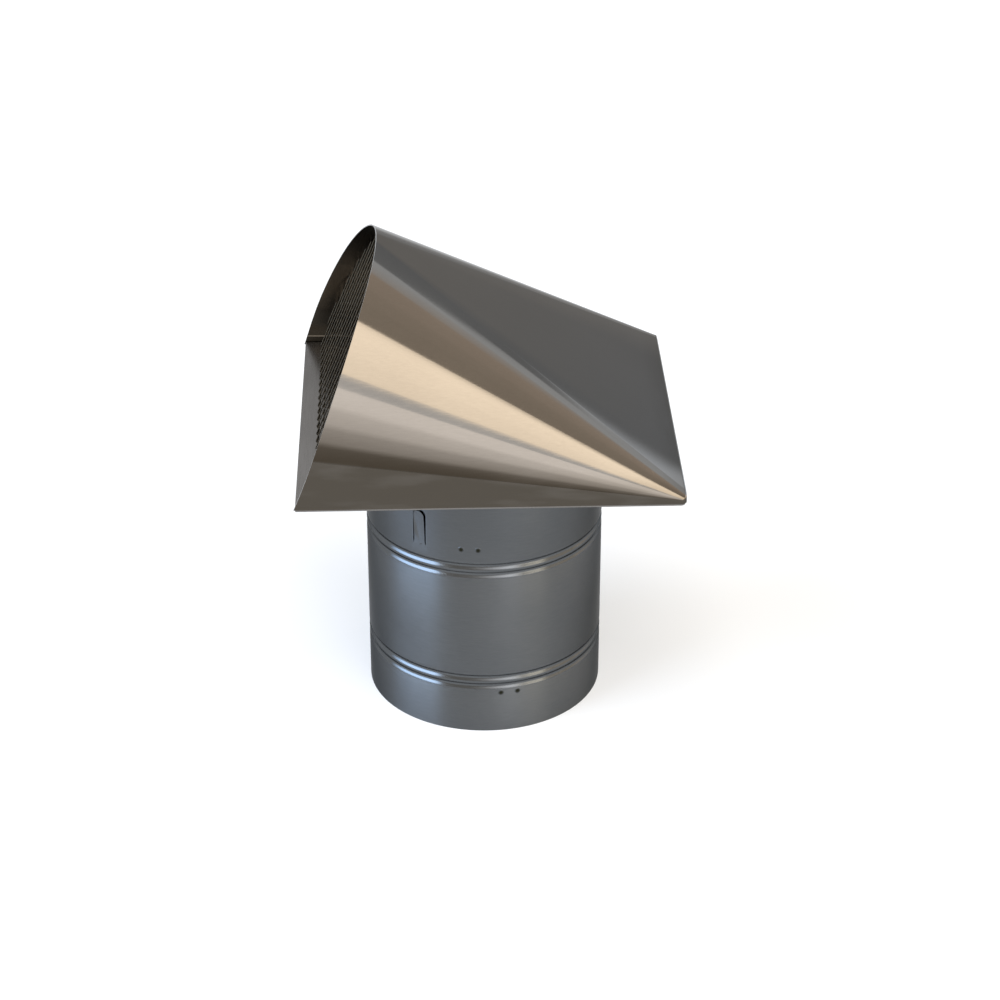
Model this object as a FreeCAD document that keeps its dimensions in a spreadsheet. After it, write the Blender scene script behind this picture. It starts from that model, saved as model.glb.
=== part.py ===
"""Air intake vent: a leaning hood of rolled sheet on a rimmed plate, over a round duct.

The frame: the origin is the centre of the duct's open lower end, +Z runs up the duct and the
hood's mouth faces -X. Lengths are millimetres and angles are degrees.
"""
import FreeCAD, Part
import math
import os

import Sketcher

# Driving dimensions
SIZES = {
    # round duct
    "duct_diameter": 200.0,
    "duct_wall": 0.8,
    "duct_length": 243.4,
    "low_bead_height": 49.1,
    "high_bead_height": 157.9,
    "groove_width": 7.0,
    "groove_floor": 2.6,
    "groove_depth": 0.9,
    "groove_pitch": 8.0,
    # lanced tongue in the duct's wall
    "tongue_angle": -33.7,
    "tongue_width": 10.0,
    "tongue_foot_height": 174.2,
    "tongue_top_height": 208.2,
    "tongue_slit": 1.2,
    # rimmed plate
    "plate_front": 152.9,
    "plate_rear": 155.7,
    "plate_width": 294.0,
    "plate_sheet": 1.0,
    "rim_height": 5.0,
    "hem_thickness": 2.0,
    # hood sheet
    "hood_sheet": 1.0,
    "lap_depth": 3.0,
    "mouth_lean": 22.1,
    "mouth_height": 177.8,
    "mouth_bulge": 6.7,
    "bulge_height": 29.9,
    "crown_radius": 114.0,
    "flank_radius": 193.4,
    "shoulder_radius": 57.9,
    "bend_pitch": 15.0,
    "fold_corner_run": 26.0,
    # collar between plate and duct
    "collar_sheet": 0.8,
    "collar_flange": 9.0,
    "collar_depth": 76.0,
    "collar_play": 0.1,
    # bird screen
    "screen_setback": 13.0,
    "screen_pitch": 12.7,
    "wire_diameter": 1.2,
}

# How many flat sides stand for a wire's round, and how close two points are one
WIRE_SIDES = 8
SAME = 1e-6

DOC = FreeCAD.newDocument("air_intake_vent")


def make_sheet():
    """Put every driving dimension into a spreadsheet cell with an alias."""
    sheet = DOC.addObject("Spreadsheet::Sheet", "sizes")
    for row, (alias, value) in enumerate(SIZES.items(), start=1):
        sheet.set(f"A{row}", alias)
        sheet.set(f"B{row}", str(value))
        sheet.setAlias(f"B{row}", alias)
    DOC.recompute()
    return sheet


SHEET = make_sheet()


def size(alias):
    """Read one driving dimension back from the sheet."""
    return float(getattr(SHEET, alias))


def bind(thing, **expressions):
    """Bind properties of an object to expressions over the sheet."""
    for prop, text in expressions.items():
        thing.setExpression(prop.replace("__", "."), text)


# The height of the plate's top face, which the hood, collar and screen stand on
PLATE_TOP = "sizes.duct_length + sizes.rim_height"

# The mouth sketch's arcs, from the right foot over the crown to the left foot
ARCH_ARCS = range(1, 8)
CROWN_ARC = ARCH_ARCS[3]

# The half width of the hood at its foot and where it bulges most
FOOT_REACH = "sizes.plate_width / 2 + sizes.hood_sheet"
BULGE_REACH = f"{FOOT_REACH} + sizes.mouth_bulge"


# Sketch helpers
ORIGIN = (-1, 1)
START, END, CENTRE = range(1, 4)
ACROSS_AXIS, UP_AXIS = range(-1, -3, -1)


def drive(sketch, kind, expression, value, *where):
    """Add a driving constraint and bind it to the sheet."""
    index = sketch.addConstraint(Sketcher.Constraint(kind, *where, value))
    sketch.setExpression(f"Constraints[{index}]", expression)


def pin(sketch, item, end, across, up):
    """Fix one point of a sketch at a place; across and up are (expression, value) pairs."""
    for kind, (expression, value) in (("DistanceX", across), ("DistanceY", up)):
        if value < 0.0:
            drive(sketch, kind, f"-({expression})", -value, item, end, *ORIGIN)
        else:
            drive(sketch, kind, expression, value, *ORIGIN, item, end)


def outline(sketch, corners):
    """Draw a closed outline of straight edges through corners given as expression pairs."""
    places = [tuple((text, value_of(text)) for text in corner) for corner in corners]
    points = [FreeCAD.Vector(across[1], up[1], 0.0) for across, up in places]
    count = len(points)
    for k in range(count):
        sketch.addGeometry(Part.LineSegment(points[k], points[(k + 1) % count]), False)
    for k in range(count):
        sketch.addConstraint(
            Sketcher.Constraint("Coincident", k, END, (k + 1) % count, START)
        )
    for k, (across, up) in enumerate(places):
        pin(sketch, k, START, across, up)


def value_of(expression):
    """The number that an expression over the sheet stands for."""
    return float(SHEET.evalExpression(expression))


def body_sketch(body, role, name):
    """A sketch on one of a body's own origin planes."""
    plane = [item for item in body.Origin.OriginFeatures if item.Role == role][0]
    sketch = body.newObject("Sketcher::SketchObject", name)
    sketch.AttachmentSupport = [(plane, "")]
    sketch.MapMode = "FlatFace"
    return sketch


# Hood: a sheet bent in small steps along lines that run from the arched mouth to the rear edge
def mouth_sketch(name, inset):
    """The arch of seven tangent arcs on the mouth's plane, with legs down beside the plate.

    inset is the expression of how far the arch lies inside the sheet's outer face.
    """
    sketch = DOC.addObject("Sketcher::SketchObject", name)
    sketch.Placement = mouth_placement()
    rules = {
        "crown_radius": f"sizes.crown_radius - {inset}",
        "crown_centre": "sizes.mouth_height - sizes.crown_radius",
        "flank_radius": f"sizes.flank_radius - {inset}",
        "shoulder_radius": f"sizes.shoulder_radius - {inset}",
        "shoulder_centre": f"{BULGE_REACH} - sizes.shoulder_radius",
        "level": "sizes.bulge_height",
        "foot": f"{FOOT_REACH} - {inset}",
        "depth": "(sizes.lap_depth + sizes.hood_sheet) / cos(sizes.mouth_lean * 1 deg)",
    }
    value = {key: value_of(rule) for key, rule in rules.items()}
    sketch.addGeometry(mouth_edges(value), False)
    leg_right, foot_right, shoulder_right, flank_right, crown = range(5)
    flank_left, shoulder_left, foot_left, leg_left, base = range(5, 10)

    def join(kind, one, two):
        sketch.addConstraint(Sketcher.Constraint(kind, one, END, two, START))

    for arc in ARCH_ARCS[:-1]:
        join("Tangent", arc, arc + 1)
    join("Coincident", leg_right, foot_right)
    join("Coincident", foot_left, leg_left)
    join("Coincident", leg_left, base)
    join("Coincident", base, leg_right)
    for kind, *where in (
        ("Vertical", leg_right),
        ("Vertical", leg_left),
        ("Horizontal", base),
        ("PointOnObject", leg_right, END, ACROSS_AXIS),
        ("PointOnObject", leg_left, START, ACROSS_AXIS),
        ("PointOnObject", crown, CENTRE, UP_AXIS),
        ("Horizontal", foot_right, CENTRE, shoulder_right, CENTRE),
        ("Horizontal", foot_left, CENTRE, shoulder_left, CENTRE),
    ):
        sketch.addConstraint(Sketcher.Constraint(kind, *where))
    for kind, key, *where in (
        ("DistanceX", "foot", *ORIGIN, leg_right, END),
        ("DistanceX", "foot", leg_left, START, *ORIGIN),
        ("DistanceY", "depth", leg_right, START, *ORIGIN),
        ("Radius", "crown_radius", crown),
        ("DistanceY", "crown_centre", *ORIGIN, crown, CENTRE),
        ("Radius", "flank_radius", flank_right),
        ("Radius", "flank_radius", flank_left),
        ("Radius", "shoulder_radius", shoulder_right),
        ("Radius", "shoulder_radius", shoulder_left),
        ("DistanceX", "shoulder_centre", *ORIGIN, shoulder_right, CENTRE),
        ("DistanceX", "shoulder_centre", shoulder_left, CENTRE, *ORIGIN),
        ("DistanceY", "level", *ORIGIN, shoulder_right, CENTRE),
        ("DistanceY", "level", *ORIGIN, shoulder_left, CENTRE),
    ):
        drive(sketch, kind, rules[key], value[key], *where)
    return sketch


def mouth_directions():
    """Across the mouth, up its leaning plane, and into the hood square to that plane."""
    lean = math.radians(size("mouth_lean"))
    across = FreeCAD.Vector(0, 1, 0)
    up = FreeCAD.Vector(math.sin(lean), 0, math.cos(lean))
    return across, up, across.cross(up)


def mouth_placement():
    """The mouth's plane, which leans back from the plate's top front edge."""
    front = FreeCAD.Vector(-size("plate_front"), 0, value_of(PLATE_TOP))
    return FreeCAD.Placement(front, FreeCAD.Rotation(*mouth_directions(), "ZXY"))


def mouth_edges(value):
    """The arch's edges, counter-clockwise from the right leg's lower end."""
    foot = value["foot"]
    level = value["level"]
    reach = value["shoulder_centre"] + value["shoulder_radius"]
    crown_c = FreeCAD.Vector(0, value["crown_centre"], 0)
    shoulder_c = FreeCAD.Vector(value["shoulder_centre"], level, 0)
    flank_r = value["flank_radius"]
    flank_c = inner_tangent_centre(
        crown_c,
        flank_r - value["crown_radius"],
        shoulder_c,
        flank_r - value["shoulder_radius"],
    )
    foot_r = (level**2 + (reach - foot) ** 2) / (2 * (reach - foot))
    foot_c = FreeCAD.Vector(reach - foot_r, level, 0)
    crown_turn = angle_from(flank_c, crown_c)
    shoulder_turn = angle_from(flank_c, shoulder_c)
    right = [
        (foot_c, foot_r, -math.asin(level / foot_r), 0.0),
        (shoulder_c, value["shoulder_radius"], 0.0, shoulder_turn),
        (flank_c, flank_r, shoulder_turn, crown_turn),
    ]
    arcs = right + [(crown_c, value["crown_radius"], crown_turn, math.pi - crown_turn)]
    arcs += [(mirrored(c), r, math.pi - b, math.pi - a) for c, r, a, b in reversed(right)]
    low_right = FreeCAD.Vector(foot, -value["depth"], 0)
    low_left = mirrored(low_right)
    edges = [Part.LineSegment(low_right, FreeCAD.Vector(foot, 0, 0))]
    for centre, radius, first, last in arcs:
        circle = Part.Circle(centre, FreeCAD.Vector(0, 0, 1), radius)
        edges.append(Part.ArcOfCircle(circle, first, last))
    edges.append(Part.LineSegment(FreeCAD.Vector(-foot, 0, 0), low_left))
    edges.append(Part.LineSegment(low_left, low_right))
    return edges


def inner_tangent_centre(one, one_reach, two, two_reach):
    """Centre, on the lower left of two given centres, of the arc that runs into both."""
    gap = two - one
    along = (one_reach**2 - two_reach**2 + gap.Length**2) / (2 * gap.Length)
    aside = math.sqrt(one_reach**2 - along**2)
    unit = gap.normalize()
    return one + unit * along + FreeCAD.Vector(unit.y, -unit.x, 0) * aside


def angle_from(centre, point):
    return math.atan2(point.y - centre.y, point.x - centre.x)


def mirrored(point):
    """The point on the other side of a sketch's up axis."""
    return FreeCAD.Vector(-point.x, point.y, point.z)


def across_middle(point):
    """The point on the other side of the part's middle plane."""
    return FreeCAD.Vector(point.x, -point.y, point.z)


def bend_counts(sketch):
    """How many flats each arc of the arch is bent into; the crown keeps one in its middle."""
    counts = []
    for arc in ARCH_ARCS:
        flats = sketch.Geometry[arc].length() / size("bend_pitch")
        if arc == CROWN_ARC:
            counts.append(2 * round((flats - 1) / 2) + 1)
        else:
            counts.append(max(1, round(flats)))
    return counts


def arch_bends(sketch, counts):
    """Where the bend lines start on the mouth, as one list of points for each arc."""
    bends = []
    for arc, count in zip(ARCH_ARCS, counts):
        points = sketch.Geometry[arc].toShape().discretize(Number=count + 1)
        bends.append([sketch.Placement.multVec(point) for point in points])
    return bends


def flat_face(points):
    """The flat face inside a closed run of points, some of which may fall together."""
    corners = [point for k, point in enumerate(points) if not point.isEqual(points[k - 1], SAME)]
    return Part.Face(Part.makePolygon(corners + corners[:1]))


def hood_solid(name, mouth, counts, inset, behind, lift):
    """The room inside one face of the sheet: flats between neighbouring bend lines.

    The lines from the crown end where the fold meets the rear edge, all lines below it run
    together in the rear corner, and the last flats are the laps beside the plate.
    """
    crown = ARCH_ARCS.index(CROWN_ARC)
    bends = arch_bends(mouth, counts)
    top = value_of(PLATE_TOP)
    half = value_of(FOOT_REACH) - inset
    rear_x = size("plate_rear") + behind
    corner = FreeCAD.Vector(rear_x, half, top + lift)
    fold = FreeCAD.Vector(rear_x, half - size("fold_corner_run"), top + lift)
    under = FreeCAD.Vector(rear_x, half, top - size("lap_depth") - size("hood_sheet"))
    leg = mouth.Placement.multVec(mouth.Geometry[0].StartPoint)

    right = [(leg, under)]
    right += [(point, corner) for arc in bends[:crown] for point in arc[:-1]]
    right += [(bends[crown][0], corner)]
    right += [(point, fold) for point in bends[crown][: counts[crown] // 2 + 1]]
    left = [(across_middle(front), across_middle(rear)) for front, rear in reversed(right)]
    lines = right + left
    outlines = [(a[0], b[0], b[1], a[1]) for a, b in zip(lines, lines[1:] + lines[:1])]
    outlines.append([front for front, rear in lines])
    outlines.append([rear for front, rear in lines])

    solid = DOC.addObject("Part::Feature", name)
    solid.Shape = Part.Solid(Part.Shell([flat_face(points) for points in outlines]))
    return solid


def make_hood_shell():
    """One sheet bent over the arch, run down to the rear edge and lapped over the rim."""
    sheet_room = size("hood_sheet")
    mouth = mouth_sketch("mouth_outer", "0")
    inner_mouth = mouth_sketch("mouth_inner", "sizes.hood_sheet")
    counts = bend_counts(mouth)
    outer = hood_solid("hood_outer", mouth, counts, 0.0, sheet_room, sheet_room / 2)
    inner = hood_solid("hood_inner", inner_mouth, counts, sheet_room, 0.0, 0.0)
    sheet = DOC.addObject("Part::Cut", "hood_sheet_solid")
    sheet.Base = outer
    sheet.Tool = inner

    reach = DOC.addObject("Part::Box", "hood_reach")
    bind(
        reach,
        Length="sizes.plate_front + sizes.plate_rear + sizes.hood_sheet",
        Width=f"2 * ({BULGE_REACH})",
        Height="sizes.lap_depth + sizes.mouth_height",
        Placement__Base__x="-sizes.plate_front",
        Placement__Base__y=f"-({BULGE_REACH})",
        Placement__Base__z=f"{PLATE_TOP} - sizes.lap_depth",
    )
    hood = DOC.addObject("Part::Common", "hood_shell")
    hood.Base = sheet
    hood.Tool = reach
    hood.Label = "hood_shell"
    return hood, inner


def make_base_plate():
    """A flat plate with its four rims turned down and hemmed, and the duct's round hole."""
    body = DOC.addObject("PartDesign::Body", "base_plate")
    blank_sketch = body_sketch(body, "XY_Plane", "plate_outline")
    half = "sizes.plate_width / 2"
    front = "-sizes.plate_front"
    rear = "sizes.plate_rear"
    outline(
        blank_sketch,
        [(front, f"-{half}"), (rear, f"-{half}"), (rear, half), (front, half)],
    )
    blank = body.newObject("PartDesign::Pad", "plate_blank")
    blank.Profile = blank_sketch
    blank.Reversed = True
    bind(blank, Length="sizes.rim_height")

    hollow_sketch = body_sketch(body, "XY_Plane", "plate_hollow_outline")
    hem = "sizes.hem_thickness"
    side = f"({half} - {hem})"
    outline(
        hollow_sketch,
        [
            (f"-(sizes.plate_front - {hem})", f"-{side}"),
            (f"sizes.plate_rear - {hem}", f"-{side}"),
            (f"sizes.plate_rear - {hem}", side),
            (f"-(sizes.plate_front - {hem})", side),
        ],
    )
    bind(hollow_sketch, AttachmentOffset__Base__z="-sizes.plate_sheet")
    hollow = body.newObject("PartDesign::Pocket", "plate_hollow")
    hollow.Profile = hollow_sketch
    bind(hollow, Length="sizes.rim_height")

    hole_sketch = body_sketch(body, "XY_Plane", "plate_hole_outline")
    radius = "sizes.duct_diameter / 2 - sizes.duct_wall"
    hole_sketch.addGeometry(
        Part.Circle(FreeCAD.Vector(), FreeCAD.Vector(0, 0, 1), value_of(radius)), False
    )
    hole_sketch.addConstraint(Sketcher.Constraint("Coincident", 0, CENTRE, *ORIGIN))
    drive(hole_sketch, "Radius", radius, value_of(radius), 0)
    hole = body.newObject("PartDesign::Pocket", "plate_hole")
    hole.Profile = hole_sketch
    bind(hole, Length="2 * sizes.rim_height")
    bind(body, Placement__Base__z=PLATE_TOP)
    DOC.recompute()
    return body


def duct_side(outward):
    """One side of the duct's wall from bottom to top, with its rolled grooves."""
    top = f"{PLATE_TOP} - sizes.plate_sheet"
    floor = f"({outward} - sizes.groove_depth)"
    corners = [(outward, "0")]
    for bead in ("low", "high"):
        for sign in ("-", "+"):
            middle = f"(sizes.{bead}_bead_height {sign} sizes.groove_pitch / 2)"
            corners += [
                (outward, f"{middle} - sizes.groove_width / 2"),
                (floor, f"{middle} - sizes.groove_floor / 2"),
                (floor, f"{middle} + sizes.groove_floor / 2"),
                (outward, f"{middle} + sizes.groove_width / 2"),
            ]
    corners.append((outward, top))
    return corners


def make_duct_pipe():
    """The rolled duct: a thin tube with double grooves rolled into its whole wall, and a tongue
    cut free of the wall on both sides and round its upper end."""
    body = DOC.addObject("PartDesign::Body", "duct_pipe")
    sketch = body_sketch(body, "XZ_Plane", "duct_section")
    outer = duct_side("sizes.duct_diameter / 2")
    inner = duct_side("(sizes.duct_diameter / 2 - sizes.duct_wall)")
    outline(sketch, outer + inner[::-1])
    turn = body.newObject("PartDesign::Revolution", "duct_turn")
    turn.Profile = sketch
    turn.ReferenceAxis = (sketch, ["V_Axis"])
    turn.Angle = 360.0
    DOC.recompute()

    slit = body.newObject("PartDesign::Pocket", "tongue_slit")
    slit.Profile = tongue_slit_sketch(body)
    slit.Reversed = True
    bind(slit, Length="sizes.duct_diameter")
    DOC.recompute()
    if turn.Shape.Volume - slit.Shape.Volume < SAME:
        raise RuntimeError("the tongue's slit misses the duct's wall")
    bind(body, Placement__Rotation__Angle="sizes.tongue_angle * 1 deg")
    return body


def tongue_slit_sketch(body):
    """The slit round the tongue: two arcs over the top and straight runs down to its foot."""
    sketch = body_sketch(body, "XZ_Plane", "tongue_slit_outline")
    inner = "sizes.tongue_width / 2"
    outer = f"({inner} + sizes.tongue_slit)"
    foot = "sizes.tongue_foot_height"
    level = f"sizes.tongue_top_height - {outer}"
    r_in, r_out = value_of(inner), value_of(outer)
    low, high = value_of(foot), value_of(level)
    centre = FreeCAD.Vector(0, high, 0)

    def line(x_from, z_from, x_to, z_to):
        return Part.LineSegment(FreeCAD.Vector(x_from, z_from, 0), FreeCAD.Vector(x_to, z_to, 0))

    def half_round(radius):
        return Part.ArcOfCircle(Part.Circle(centre, FreeCAD.Vector(0, 0, 1), radius), 0, math.pi)

    sketch.addGeometry(
        [
            line(r_out, low, r_out, high),
            half_round(r_out),
            line(-r_out, high, -r_out, low),
            line(-r_out, low, -r_in, low),
            line(-r_in, low, -r_in, high),
            half_round(r_in),
            line(r_in, high, r_in, low),
            line(r_in, low, r_out, low),
        ],
        False,
    )
    right_out, arc_out, left_out, left_foot, left_in, arc_in, right_in, right_foot = range(8)
    for kind, *where in (
        ("Coincident", right_out, END, arc_out, START),
        ("Coincident", arc_out, END, left_out, START),
        ("Coincident", left_out, END, left_foot, START),
        ("Coincident", left_foot, END, left_in, START),
        ("Coincident", left_in, END, arc_in, END),
        ("Coincident", arc_in, START, right_in, START),
        ("Coincident", right_in, END, right_foot, START),
        ("Coincident", right_foot, END, right_out, START),
        ("Vertical", right_out),
        ("Vertical", left_out),
        ("Vertical", left_in),
        ("Vertical", right_in),
        ("Horizontal", left_foot),
        ("Horizontal", right_foot),
        ("Horizontal", arc_out, CENTRE, right_out, END),
        ("Horizontal", arc_out, CENTRE, left_out, START),
        ("Horizontal", arc_in, CENTRE, left_in, END),
        ("Horizontal", arc_in, CENTRE, right_in, START),
        ("PointOnObject", arc_out, CENTRE, UP_AXIS),
        ("PointOnObject", arc_in, CENTRE, UP_AXIS),
    ):
        sketch.addConstraint(Sketcher.Constraint(kind, *where))
    drive(sketch, "DistanceX", outer, r_out, *ORIGIN, right_out, START)
    drive(sketch, "DistanceX", inner, r_in, *ORIGIN, right_in, END)
    drive(sketch, "DistanceY", foot, low, *ORIGIN, right_out, START)
    drive(sketch, "DistanceY", foot, low, *ORIGIN, left_foot, START)
    drive(sketch, "DistanceY", level, high, *ORIGIN, arc_out, CENTRE)
    drive(sketch, "DistanceY", level, high, *ORIGIN, arc_in, CENTRE)
    return sketch


def make_spigot_collar():
    """The flanged ring that lies on the plate and reaches down inside the duct."""
    body = DOC.addObject("PartDesign::Body", "spigot_collar")
    sketch = body_sketch(body, "XZ_Plane", "collar_section")
    outer = "(sizes.duct_diameter / 2 - sizes.duct_wall - sizes.collar_play)"
    inner = f"({outer} - sizes.collar_sheet)"
    flange = f"({outer} + sizes.collar_flange)"
    low = "-(sizes.rim_height + sizes.collar_depth)"
    outline(
        sketch,
        [
            (inner, low),
            (outer, low),
            (outer, "0"),
            (flange, "0"),
            (flange, "sizes.collar_sheet"),
            (inner, "sizes.collar_sheet"),
        ],
    )
    turn = body.newObject("PartDesign::Revolution", "collar_turn")
    turn.Profile = sketch
    turn.ReferenceAxis = (sketch, ["V_Axis"])
    turn.Angle = 360.0
    bind(body, Placement__Base__z=PLATE_TOP)
    return body


def straight_wire(start, along, beside, length):
    """A wire from start, drawn with a few flat sides in place of a round."""
    aside = along.cross(beside)
    radius = size("wire_diameter") / 2
    turns = [2 * math.pi * (k + 0.5) / WIRE_SIDES for k in range(WIRE_SIDES + 1)]
    ring = [
        start + beside * (radius * math.cos(turn)) + aside * (radius * math.sin(turn))
        for turn in turns
    ]
    return Part.Face(Part.makePolygon(ring)).extrude(along * length)


def make_bird_screen(hood_inner):
    """Two touching layers of straight wires behind the mouth, cut to the hood's inside."""
    across, up, inward = mouth_directions()
    layer_gap = inward * (size("wire_diameter") * math.cos(math.pi / WIRE_SIDES))
    pitch = size("screen_pitch")
    reach = value_of(BULGE_REACH)
    height = size("mouth_height")
    front = mouth_placement().Base
    depth = size("plate_front") + size("plate_rear")
    above_plate = Part.makeBox(depth, 2 * reach, height, front - across * reach)
    room = hood_inner.Shape.common(above_plate)
    foot = front + inward * size("screen_setback")
    wires = []
    columns = int(reach / pitch)
    for k in range(-columns, columns + 1):
        start = foot + across * (k * pitch) - up * pitch
        wires.append(straight_wire(start, up, across, height + pitch))
    rows = int(height / pitch)
    for k in range(rows):
        start = foot + up * ((k + 0.5) * pitch) - across * reach + layer_gap
        wires.append(straight_wire(start, across, up, 2 * reach))
    trimmed = [piece for wire in wires for piece in wire.common(room).Solids]
    screen = DOC.addObject("Part::Feature", "bird_screen")
    screen.Shape = Part.makeCompound(trimmed)
    return screen


def write_parts(parts):
    """Check every object of the document, then write each sub-part to its own file."""
    DOC.recompute()
    for item in DOC.Objects:
        bad = [state for state in item.State if state in ("Invalid", "Error")]
        if bad:
            raise RuntimeError(f"{item.Name} is {bad}")
    os.makedirs("parts", exist_ok=True)
    for part in parts:
        shape = part.Shape
        if shape.isNull() or not shape.isValid():
            raise RuntimeError(f"{part.Label} has no valid shape")
        shape.exportStep(os.path.join("parts", f"{part.Label}.step"))
        box = shape.BoundBox
        print(
            f"{part.Label}: {len(shape.Solids)} solids, {shape.Volume:.0f} mm3, "
            f"x {box.XMin:.1f} to {box.XMax:.1f}, y {box.YMin:.1f} to {box.YMax:.1f}, "
            f"z {box.ZMin:.1f} to {box.ZMax:.1f}"
        )


HOOD, HOOD_INNER = make_hood_shell()
PLATE = make_base_plate()
DUCT = make_duct_pipe()
COLLAR = make_spigot_collar()
DOC.recompute()
SCREEN = make_bird_screen(HOOD_INNER)
write_parts([HOOD, PLATE, DUCT, COLLAR, SCREEN])
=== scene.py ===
# %% [markdown]
# # An air intake vent in brushed sheet steel
#
# The vent is a cowl that keeps rain out of a round duct: one stainless sheet is bent over an
# arched mouth and runs down to a straight rear edge, a rimmed plate closes it from below, and a
# rolled duct with two swaged beads hangs under the plate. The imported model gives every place
# and size, and this notebook dresses it piece by piece.

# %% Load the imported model
import math

import bmesh
import bpy
from mathutils import Matrix, Vector


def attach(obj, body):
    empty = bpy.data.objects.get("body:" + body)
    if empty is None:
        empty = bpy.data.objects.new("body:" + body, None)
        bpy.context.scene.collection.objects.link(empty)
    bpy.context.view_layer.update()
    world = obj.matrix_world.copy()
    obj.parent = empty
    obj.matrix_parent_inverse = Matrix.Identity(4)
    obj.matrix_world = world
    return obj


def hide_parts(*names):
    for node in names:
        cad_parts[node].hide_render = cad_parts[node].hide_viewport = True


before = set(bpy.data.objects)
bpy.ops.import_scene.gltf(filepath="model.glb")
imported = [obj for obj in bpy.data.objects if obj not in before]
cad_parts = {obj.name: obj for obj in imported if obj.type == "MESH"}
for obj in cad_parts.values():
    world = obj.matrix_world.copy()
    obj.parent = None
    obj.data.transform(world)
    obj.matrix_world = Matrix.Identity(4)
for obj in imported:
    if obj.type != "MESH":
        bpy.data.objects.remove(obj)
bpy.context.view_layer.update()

MM = 0.001

# %% [markdown]
# ## The camera
#
# The photograph was taken with a long lens from the vent's side, looking down by about thirty
# degrees. Straight edges of the plate, the mouth and the duct's rims gave the camera's place and
# its lens, so the camera here is set down at that place rather than moved by eye.

# %% Set the camera
CAMERA_PLACE = (-0.0536, -1.9968, 1.3023)
LOOK = Vector((0.0292, 0.8691, -0.4937)).normalized()
LENS_LENGTH = 97.26
SENSOR_WIDTH = 36.0
ACROSS = LOOK.cross(Vector((0.0, 0.0, 1.0))).normalized()
UPWARD = ACROSS.cross(LOOK)

lens = bpy.data.cameras.new("vent_camera")
lens.lens = LENS_LENGTH
lens.sensor_width = SENSOR_WIDTH
camera = bpy.data.objects.new("vent_camera", lens)
bpy.context.collection.objects.link(camera)
camera.matrix_world = Matrix.Translation(CAMERA_PLACE) @ Matrix(
    (ACROSS, UPWARD, -LOOK)
).transposed().to_4x4()
bpy.context.scene.camera = camera
bpy.context.scene.view_settings.view_transform = "Standard"
print("Camera at", tuple(round(v, 3) for v in camera.location), "looking along", tuple(LOOK))

# %% [markdown]
# ## Helpers for modelling as by hand
#
# Every piece starts as a primitive, is shaped in edit mode and is finished with modifiers. Each
# operator acts on what is selected, so a few small helpers clear the selection, open a piece for
# editing and pick vertices, edges or faces by where they are.


# %% Helpers that select and apply
def clear_selection():
    """Leave edit mode and select nothing."""
    if bpy.context.object and bpy.context.object.mode != "OBJECT":
        bpy.ops.object.mode_set(mode="OBJECT")
    bpy.ops.object.select_all(action="DESELECT")


def take(piece):
    """Select one piece alone and make it the active one."""
    clear_selection()
    piece.select_set(True)
    bpy.context.view_layer.objects.active = piece


def named(name):
    """Name the primitive that was just added."""
    piece = bpy.context.object
    piece.name = name
    piece.data.name = name
    return piece


def pick(piece, kind, rule):
    """In edit mode, select the parts of one kind that pass the rule, and nothing else."""
    bpy.ops.mesh.select_mode(type={"verts": "VERT", "edges": "EDGE", "faces": "FACE"}[kind])
    bpy.ops.mesh.select_all(action="DESELECT")
    mesh = bmesh.from_edit_mesh(piece.data)
    count = 0
    for item in getattr(mesh, kind):
        if rule(item):
            item.select_set(True)
            count += 1
    mesh.select_flush_mode()
    bmesh.update_edit_mesh(piece.data)
    return count


def looks_down(face):
    """Whether a face looks down."""
    return face.normal.z < -0.9


def fix_place(piece):
    """Put the piece's place, turn and scale into its mesh."""
    take(piece)
    bpy.ops.object.transform_apply(location=True, rotation=True, scale=True)


def add_modifier(piece, kind, **settings):
    """Add a modifier with its settings and apply it."""
    take(piece)
    modifier = piece.modifiers.new(kind.lower(), kind)
    for key, value in settings.items():
        setattr(modifier, key, value)
    bpy.ops.object.modifier_apply(modifier=modifier.name)


def settle(piece, smooth):
    """Fix the piece's place and shade it smooth up to an angle between faces, in degrees."""
    fix_place(piece)
    bpy.ops.object.shade_smooth_by_angle(angle=math.radians(smooth))
    print(f"{piece.name}: {len(piece.data.vertices)} vertices, {len(piece.data.polygons)} faces")


def point_start(name, place):
    """A piece of one vertex: a tiny plane merged to its middle."""
    clear_selection()
    bpy.ops.mesh.primitive_plane_add(size=MM, location=(0.0, 0.0, 0.0))
    piece = named(name)
    bpy.ops.object.mode_set(mode="EDIT")
    bpy.ops.mesh.select_mode(type="VERT")
    bpy.ops.mesh.select_all(action="SELECT")
    bpy.ops.mesh.merge(type="CENTER")
    bpy.ops.transform.translate(value=place)
    return piece


def draw_to(step):
    """Extrude what is selected by a step: a vertex draws an edge, a face a block."""
    bpy.ops.mesh.extrude_region_move(TRANSFORM_OT_translate={"value": step})


# %% [markdown]
# Three more helpers do what several pieces need: a sheet's sharp edges are rounded a little, a
# piece is cut with a block, and a repeated piece is copied with its own mesh.

# %% Helpers that round, cut and copy
EDGE_SEGMENTS = 3
SHARP_FROM = math.radians(60.0)


def round_edges(piece, width):
    """Round a piece's sharp edges by a width in millimetres."""
    add_modifier(
        piece,
        "BEVEL",
        width=width * MM,
        segments=EDGE_SEGMENTS,
        limit_method="ANGLE",
        angle_limit=SHARP_FROM,
    )


def carve(piece, operation, block):
    """Cut a piece with a block, which is then removed."""
    add_modifier(piece, "BOOLEAN", operation=operation, object=block, solver="EXACT")
    bpy.data.objects.remove(block)


def duplicate(piece, name):
    """Copy a piece with its own mesh."""
    twin = piece.copy()
    twin.data = piece.data.copy()
    twin.name = twin.data.name = name
    bpy.context.collection.objects.link(twin)
    return twin


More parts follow.
